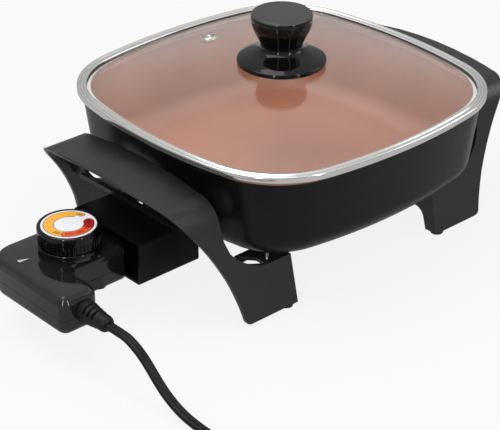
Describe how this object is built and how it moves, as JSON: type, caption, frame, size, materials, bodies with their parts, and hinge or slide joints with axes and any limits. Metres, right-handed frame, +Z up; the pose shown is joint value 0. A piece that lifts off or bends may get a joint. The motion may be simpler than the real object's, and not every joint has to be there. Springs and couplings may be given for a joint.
{
  "type": "electric skillet",
  "caption": "Square electric skillet with a loose glass lid, two moulded leg handles and a plug-in temperature control on a coiled cord.",
  "frame": {"origin": "on the table, under the middle of the object's box without the free cord", "axes": "+Z up, +X from the temperature control through the pan to the far handle, +Y across the pan towards the vent of the lid"},
  "size_m": [0.543, 0.4296, 0.1924],
  "materials": {
    "cast_coating": "satin non-stick coating on a die-cast pan",
    "nickel": "nickel-plated steel",
    "ceramic": "steatite, matt",
    "moulded_black": "moulded phenolic, fine matt texture",
    "zinc_plate": "zinc-plated steel",
    "rubber": "matt",
    "glass": "clear tempered",
    "stainless": "polished stainless",
    "gloss_black": "high gloss",
    "silicone": "matt",
    "brass": "bright",
    "face_print": "printed disc, satin",
    "cord_black": "flexible PVC, satin"
  },
  "bodies": {
    "base": {"pan": "cast_coating", "heating_element": "nickel", "sensor_well": "nickel", "terminal_pin_near": "nickel", "terminal_pin_far": "nickel", "terminal_insulator_near": "ceramic", "terminal_insulator_far": "ceramic", "terminal_shroud": "moulded_black", "far_side_handle": "moulded_black", "probe_side_handle": "moulded_black", "handle_screw_1": "zinc_plate", "handle_screw_2": "zinc_plate", "handle_screw_3": "zinc_plate", "handle_screw_4": "zinc_plate", "foot_1": "rubber", "foot_2": "rubber", "foot_3": "rubber", "foot_4": "rubber", "shroud_screw_near": "zinc_plate", "shroud_screw_far": "zinc_plate"},
    "lid": {"lid_glass": "glass", "lid_rim": "stainless", "vent_grommet": "stainless", "lid_knob": "gloss_black", "knob_gasket": "silicone", "knob_washer": "stainless", "knob_screw": "stainless"},
    "dial": {"dial_knob": "gloss_black", "dial_face": "face_print", "adjusting_shaft": "nickel"},
    "control": {"probe_upper_shell": "gloss_black", "probe_lower_shell": "gloss_black", "plug_block": "moulded_black", "contact_sleeve_near": "brass", "contact_sleeve_far": "brass", "sensor_stem": "nickel", "thermostat_frame": "zinc_plate", "contact_blade": "brass", "housing_screw_1": "zinc_plate", "housing_screw_2": "zinc_plate", "housing_screw_3": "zinc_plate", "strain_relief": "cord_black", "cord_run": "cord_black", "cord_coil": "cord_black", "cord_tie": "rubber", "plug_body": "cord_black", "plug_blade_near": "nickel", "plug_blade_far": "nickel"}
  },
  "joints": [
    {"name": "lid_lift", "type": "slide", "parent": "base", "child": "lid", "axis": [0, 0, 1], "range_m": [0, 0.12]},
    {"name": "control_pull", "type": "slide", "parent": "base", "child": "control", "axis": [-1, 0, 0], "range_m": [0, 0.1]},
    {"name": "dial_turn", "type": "hinge", "parent": "control", "child": "dial", "pos_m": [-0.1775, 0, 0.07], "axis": [0, 0, 1], "range_deg": [-149, 161]}
  ]
}
